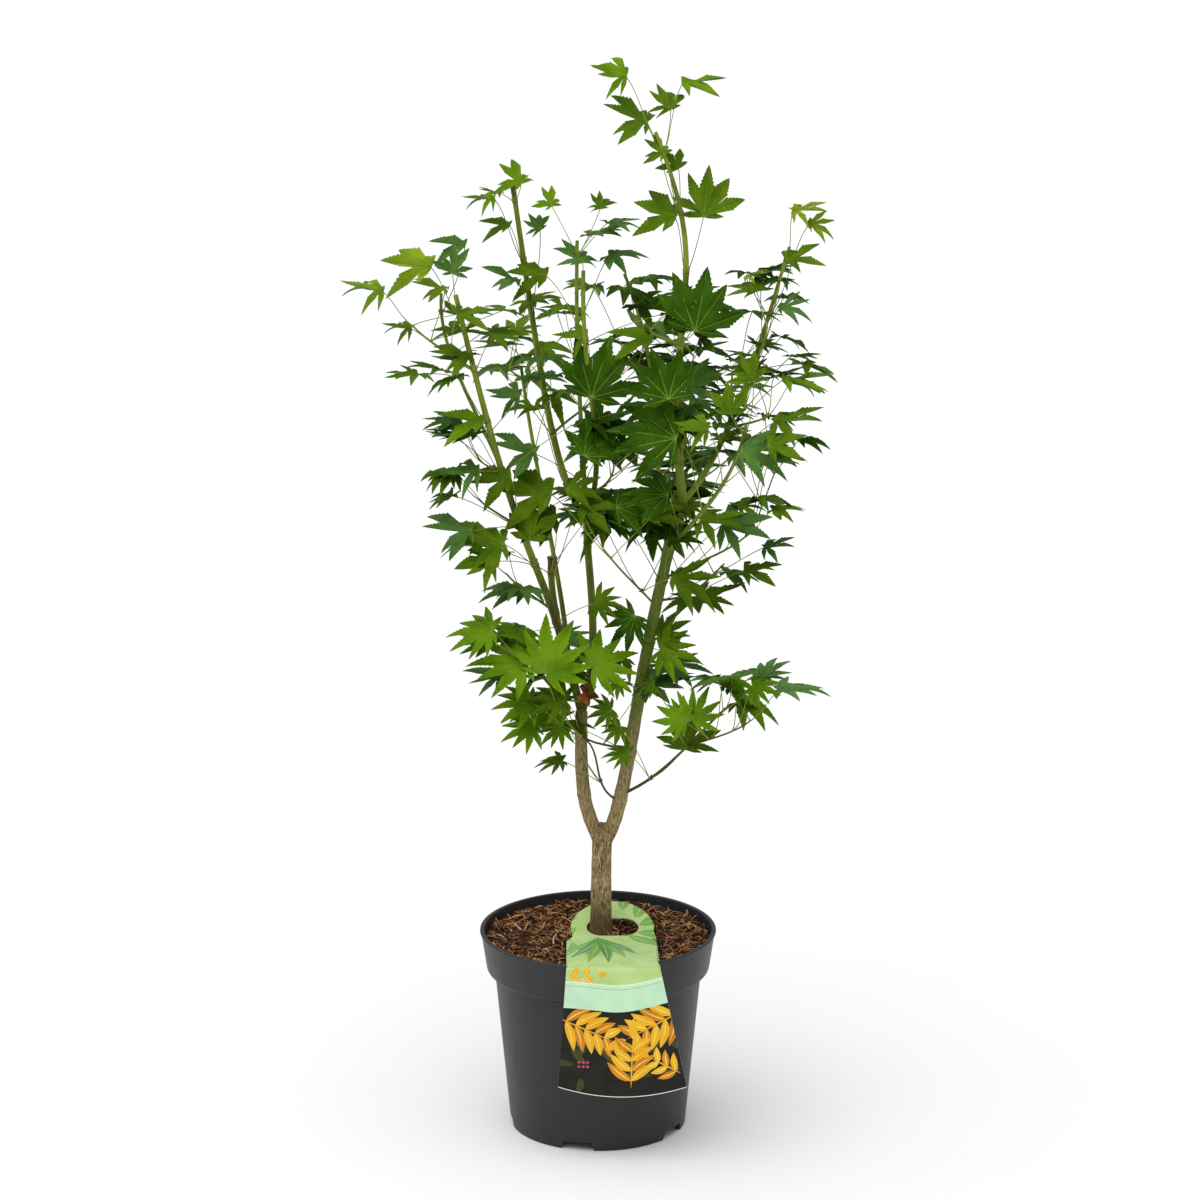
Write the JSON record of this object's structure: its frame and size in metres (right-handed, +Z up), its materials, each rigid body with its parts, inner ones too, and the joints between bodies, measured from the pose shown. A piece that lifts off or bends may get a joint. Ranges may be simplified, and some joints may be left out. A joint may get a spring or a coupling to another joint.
{
  "type": "potted japanese maple",
  "caption": "Young green-leaved maple with upright forked stems and tiers of pointed, lobed leaves, growing in a round black nursery pot with a bent plant tag.",
  "frame": {"origin": "on the axis of the round pot, on the surface that it stands on", "axes": "+Z up along the plant, +X to the plant's right seen from the side where the tag hangs, +Y away from that side"},
  "size_m": [0.3907, 0.3367, 0.8769],
  "materials": {
    "pot_plastic": "satin",
    "compost": "matte",
    "tag": "satin",
    "bark": "matte",
    "green_stem": "satin",
    "leaf": "satin",
    "young_leaf": "satin"
  },
  "bodies": {
    "root": {"back_bough": "green_stem", "centre_bough": "green_stem", "centre_heart_leaves": "leaf", "centre_low_leaves": "leaf", "centre_lower_leaves": "leaf", "centre_middle_leaves": "leaf", "centre_shoot": "green_stem", "centre_top_leaves": "leaf", "centre_upper_leaves": "leaf", "compost": "compost", "front_bough": "green_stem", "front_fan_leaves": "leaf", "leader": "green_stem", "leader_foot_leaves": "leaf", "leader_lower_leaves": "leaf", "leader_middle_leaves": "leaf", "leader_top_leaves": "young_leaf", "leader_upper_leaves": "leaf", "left_base_leaves": "leaf", "left_bough": "green_stem", "left_drop_leaves": "leaf", "left_hem_leaves": "leaf", "left_middle_leaves": "leaf", "left_shoot": "green_stem", "left_skirt_leaves": "leaf", "left_spread_leaves": "leaf", "left_stem": "bark", "left_stub": "green_stem", "left_tip_leaves": "young_leaf", "left_top_leaves": "young_leaf", "left_upper_leaves": "leaf", "left_wide_leaves": "leaf", "low_right_twig": "green_stem", "middle_stem": "green_stem", "plant_tag": "tag", "pot": "pot_plastic", "rear_bough": "green_stem", "rear_left_bough": "green_stem", "rear_left_leaves": "leaf", "rear_middle_leaves": "leaf", "rear_right_leaves": "leaf", "rear_top_leaves": "leaf", "right_bough": "green_stem", "right_drop_leaves": "leaf", "right_front_leaves": "leaf", "right_low_leaves": "leaf", "right_lower_leaves": "leaf", "right_middle_leaves": "leaf", "right_skirt_leaves": "leaf", "right_stem": "bark", "right_tier_leaves": "leaf", "right_tip_leaves": "young_leaf", "right_upper_leaves": "leaf", "stub_lower_leaves": "leaf", "stub_middle_leaves": "leaf", "stub_top_leaves": "young_leaf", "tall_stub": "green_stem", "trunk": "bark", "twig_end_leaves": "leaf", "twig_side_leaves": "leaf"}
  },
  "joints": []
}
